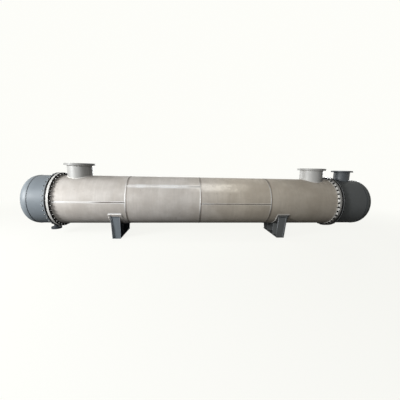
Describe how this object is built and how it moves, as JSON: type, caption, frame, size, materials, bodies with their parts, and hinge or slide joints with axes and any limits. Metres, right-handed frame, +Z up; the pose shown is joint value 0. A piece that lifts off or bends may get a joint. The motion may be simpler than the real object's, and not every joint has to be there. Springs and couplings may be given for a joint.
{
  "type": "acid cooler",
  "caption": "Horizontal shell-and-tube acid cooler with a stainless shell, bolted painted water channels with dished heads, flanged nozzles and saddle supports.",
  "frame": {"origin": "on the floor, at the centre of the four anchor holes, midway between the tube sheets", "axes": "+X along the shell towards the channel with the water nozzles, +Y to the rear, +Z up"},
  "size_m": [7.55, 1.305, 1.547],
  "materials": {
    "stainless_plate": "pickled rolled plate",
    "machined_stainless": "machined",
    "channel_paint": "satin blue-grey paint",
    "saddle_paint": "satin grey paint",
    "tubes": "drawn tube",
    "gasket": "matte"
  },
  "bodies": {
    "root": {"shell_course_1": "stainless_plate", "shell_course_2": "stainless_plate", "shell_course_3": "stainless_plate", "shell_course_4": "stainless_plate", "left_acid_neck": "stainless_plate", "left_acid_flange": "stainless_plate", "right_acid_neck": "stainless_plate", "right_acid_flange": "stainless_plate", "left_saddle_pad": "stainless_plate", "right_saddle_pad": "stainless_plate", "left_tubesheet": "machined_stainless", "right_tubesheet": "machined_stainless", "left_channel_flange": "channel_paint", "left_channel_barrel": "channel_paint", "left_head": "channel_paint", "drain_neck": "channel_paint", "drain_flange": "channel_paint", "right_channel_flange": "channel_paint", "right_channel_barrel": "channel_paint", "right_head": "channel_paint", "top_water_neck": "channel_paint", "top_water_flange": "channel_paint", "rear_water_neck": "channel_paint", "rear_water_flange": "channel_paint", "left_saddle_web": "saddle_paint", "left_saddle_ribs": "saddle_paint", "left_saddle_base": "saddle_paint", "right_saddle_web": "saddle_paint", "right_saddle_ribs": "saddle_paint", "right_saddle_base": "saddle_paint", "tube_bundle": "tubes", "left_gasket": "gasket", "right_gasket": "gasket"}
  },
  "joints": []
}
